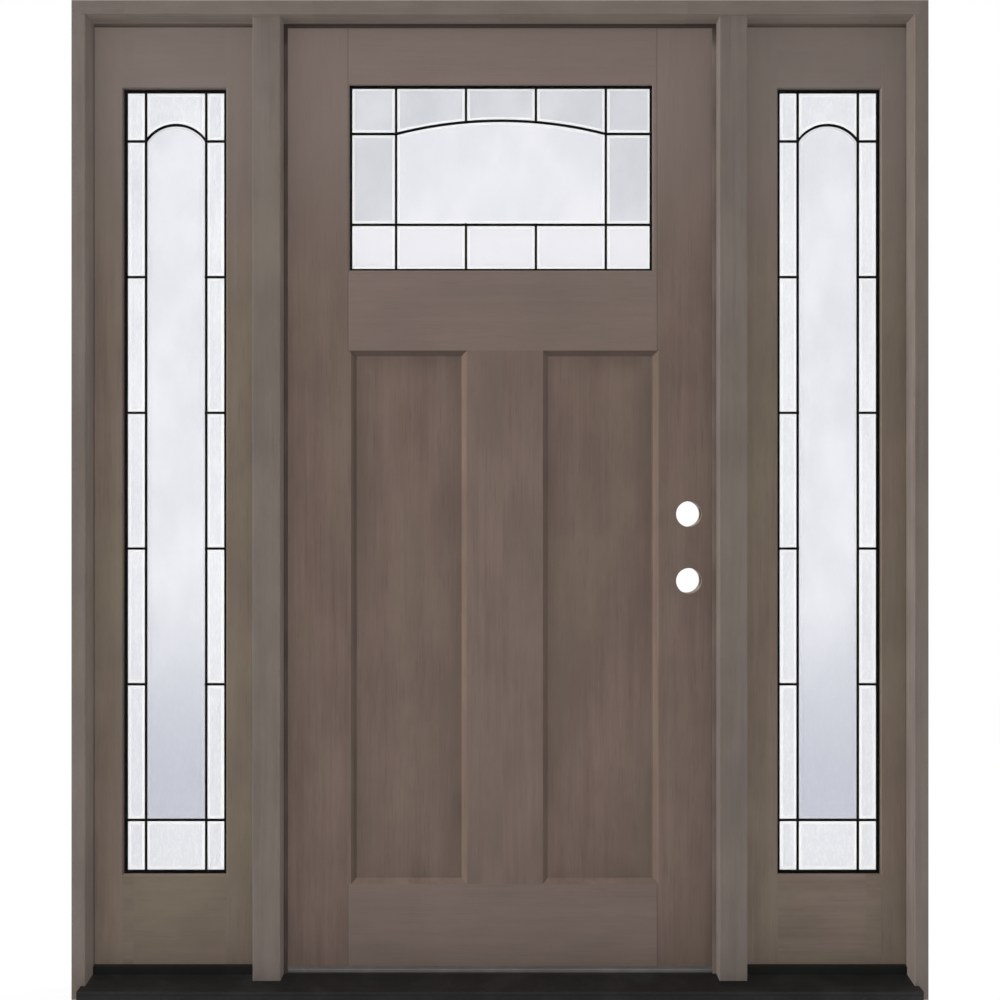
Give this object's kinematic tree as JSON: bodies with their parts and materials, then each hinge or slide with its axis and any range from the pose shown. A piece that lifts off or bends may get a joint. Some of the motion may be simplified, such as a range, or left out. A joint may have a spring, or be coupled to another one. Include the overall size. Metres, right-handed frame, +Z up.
{
  "type": "prehung front door with sidelites",
  "caption": "Prehung fibreglass entry door: hinged leaf with leaded lite and recessed panels, fixed leaded sidelites, rabbeted frame and black sill.",
  "frame": {"origin": "middle of the unit's width and of the jambs' depth, on the underside of the sill", "axes": "+Z up, +Y into the house, +X to the right seen from outside"},
  "size_m": [1.7578, 0.161, 2.0501],
  "materials": {
    "frame_finish": "taupe brown stain, satin",
    "leaf_finish": "wood-grained fibreglass, taupe brown stain, satin",
    "bare_wood": "sawn, sealed",
    "black_sill": "black, satin",
    "black_riser": "black, satin",
    "sill_core": "plain",
    "grey_cap": "brushed",
    "seal": "matt",
    "spacer_black": "black, satin",
    "came_black": "black patina",
    "clear_glass": "clear",
    "textured_glass": "bevelled, rain textured",
    "soft_glass": "bevelled, softly textured",
    "foam": "closed-cell foam",
    "hinge_metal": "satin"
  },
  "bodies": {
    "frame": {"left_jamb": "frame_finish", "right_jamb": "frame_finish", "head_jamb": "frame_finish", "left_mullion_post": "frame_finish", "right_mullion_post": "frame_finish", "sill_base": "sill_core", "sill_deck": "black_sill", "threshold_cap": "grey_cap", "left_sill_riser": "black_riser", "right_sill_riser": "black_riser", "door_weatherstrip": "seal", "left_sidelite_gasket": "seal", "right_sidelite_gasket": "seal", "left_sidelite_stiles": "leaf_finish", "left_sidelite_rails": "leaf_finish", "left_sidelite_outer_pane": "clear_glass", "left_sidelite_inner_pane": "clear_glass", "left_sidelite_spacer": "spacer_black", "left_sidelite_cames": "came_black", "left_sidelite_border_glass": "textured_glass", "left_sidelite_centre_glass": "soft_glass", "right_sidelite_stiles": "leaf_finish", "right_sidelite_rails": "leaf_finish", "right_sidelite_outer_pane": "clear_glass", "right_sidelite_inner_pane": "clear_glass", "right_sidelite_spacer": "spacer_black", "right_sidelite_cames": "came_black", "right_sidelite_border_glass": "textured_glass", "right_sidelite_centre_glass": "soft_glass", "frame_hinge_leaves": "hinge_metal"},
    "door_leaf": {"door_exterior_skin": "leaf_finish", "door_interior_skin": "leaf_finish", "hinge_stile": "bare_wood", "latch_stile": "bare_wood", "door_top_rail": "bare_wood", "door_bottom_rail": "bare_wood", "door_core": "foam", "door_outer_pane": "clear_glass", "door_inner_pane": "clear_glass", "door_spacer": "spacer_black", "door_cames": "came_black", "door_border_glass": "textured_glass", "door_centre_glass": "soft_glass", "door_hinge_leaves": "hinge_metal"}
  },
  "joints": [
    {"name": "door_swing", "type": "hinge", "parent": "frame", "child": "door_leaf", "pos_m": [-0.4597, 0.066, 0], "axis": [0, 0, 1], "range_deg": [0, 170]}
  ]
}
